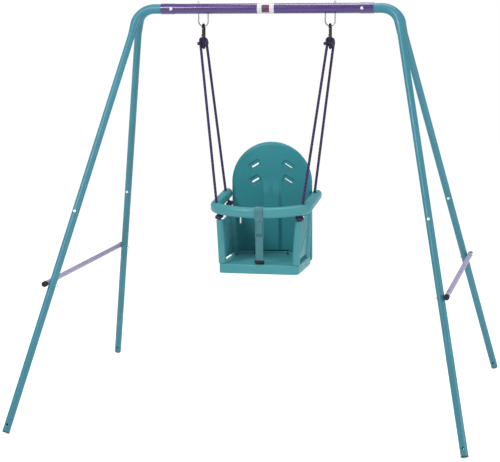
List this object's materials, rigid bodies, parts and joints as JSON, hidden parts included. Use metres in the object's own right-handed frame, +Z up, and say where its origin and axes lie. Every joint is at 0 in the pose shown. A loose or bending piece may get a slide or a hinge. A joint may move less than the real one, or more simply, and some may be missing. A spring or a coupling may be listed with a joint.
{
  "type": "toddler swing set",
  "caption": "Free-standing steel A-frame garden swing with a moulded toddler seat, guard ring and crotch strap, hung on ropes from two wire hangers.",
  "frame": {"origin": "on the ground, under the middle of the top bar", "axes": "+Z up, +X along the top bar towards the left hand of a child in the seat, +Y behind the seat"},
  "size_m": [1.9732, 1.6506, 1.812],
  "materials": {
    "leg_paint": "semi-gloss powder coat",
    "bar_paint": "semi-gloss powder coat",
    "brace_paint": "semi-gloss powder coat",
    "zinc_steel": "bright zinc plate",
    "hook_black": "black coated steel",
    "seat_plastic": "satin moulded plastic",
    "cap_plastic": "moulded plastic",
    "buckle_plastic": "moulded plastic",
    "rope_fibre": "braided synthetic rope",
    "strap_webbing": "woven webbing",
    "label_film": "printed film"
  },
  "bodies": {
    "frame": {"top_bar": "bar_paint", "bar_label": "label_film", "brace_left": "brace_paint", "hanger_left": "zinc_steel", "upper_leg_front_left": "leg_paint", "lower_leg_front_left": "leg_paint", "foot_plug_front_left": "cap_plastic", "brace_cap_front_left": "cap_plastic", "upper_leg_rear_left": "leg_paint", "lower_leg_rear_left": "leg_paint", "foot_plug_rear_left": "cap_plastic", "brace_cap_rear_left": "cap_plastic", "brace_right": "brace_paint", "hanger_right": "zinc_steel", "upper_leg_front_right": "leg_paint", "lower_leg_front_right": "leg_paint", "foot_plug_front_right": "cap_plastic", "brace_cap_front_right": "cap_plastic", "upper_leg_rear_right": "leg_paint", "lower_leg_rear_right": "leg_paint", "foot_plug_rear_right": "cap_plastic", "brace_cap_rear_right": "cap_plastic", "bar_bolts": "zinc_steel", "bar_nuts": "zinc_steel", "leg_joint_bolts": "zinc_steel", "leg_joint_nuts": "zinc_steel", "brace_bolts": "zinc_steel", "brace_nuts": "zinc_steel", "hanger_nuts": "zinc_steel"},
    "swing": {"snap_hook_left": "hook_black", "rope_knot_left": "rope_fibre", "side_panel_left": "seat_plastic", "rope_front_left": "rope_fibre", "ring_knot_front_left": "rope_fibre", "rope_rear_left": "rope_fibre", "ring_knot_rear_left": "rope_fibre", "snap_hook_right": "hook_black", "rope_knot_right": "rope_fibre", "side_panel_right": "seat_plastic", "rope_front_right": "rope_fibre", "ring_knot_front_right": "rope_fibre", "rope_rear_right": "rope_fibre", "ring_knot_rear_right": "rope_fibre", "gate_pins": "zinc_steel", "ring_bolts": "zinc_steel", "back_screws": "zinc_steel", "strap_anchor": "zinc_steel", "seat_tray": "seat_plastic", "seat_back": "seat_plastic", "guard_ring": "seat_plastic", "crotch_strap": "strap_webbing", "strap_buckle": "buckle_plastic", "base_knots": "rope_fibre"},
    "gate_left": {"hook_gate_left": "hook_black"},
    "gate_right": {"hook_gate_right": "hook_black"}
  },
  "joints": [
    {"name": "seat_swing", "type": "hinge", "parent": "frame", "child": "swing", "pos_m": [0, 0, 1.7], "axis": [1, 0, 0], "range_deg": [-45, 45]},
    {"name": "left_gate_hinge", "type": "hinge", "parent": "swing", "child": "gate_left", "pos_m": [-0.288, -0.015, 1.661], "axis": [-1, 0, 0], "range_deg": [0, 28], "stiffness_Nm_per_rad": 0.04, "springref_deg": -11.46},
    {"name": "right_gate_hinge", "type": "hinge", "parent": "swing", "child": "gate_right", "pos_m": [0.288, -0.015, 1.661], "axis": [-1, 0, 0], "range_deg": [0, 28], "stiffness_Nm_per_rad": 0.04, "springref_deg": -11.46}
  ]
}
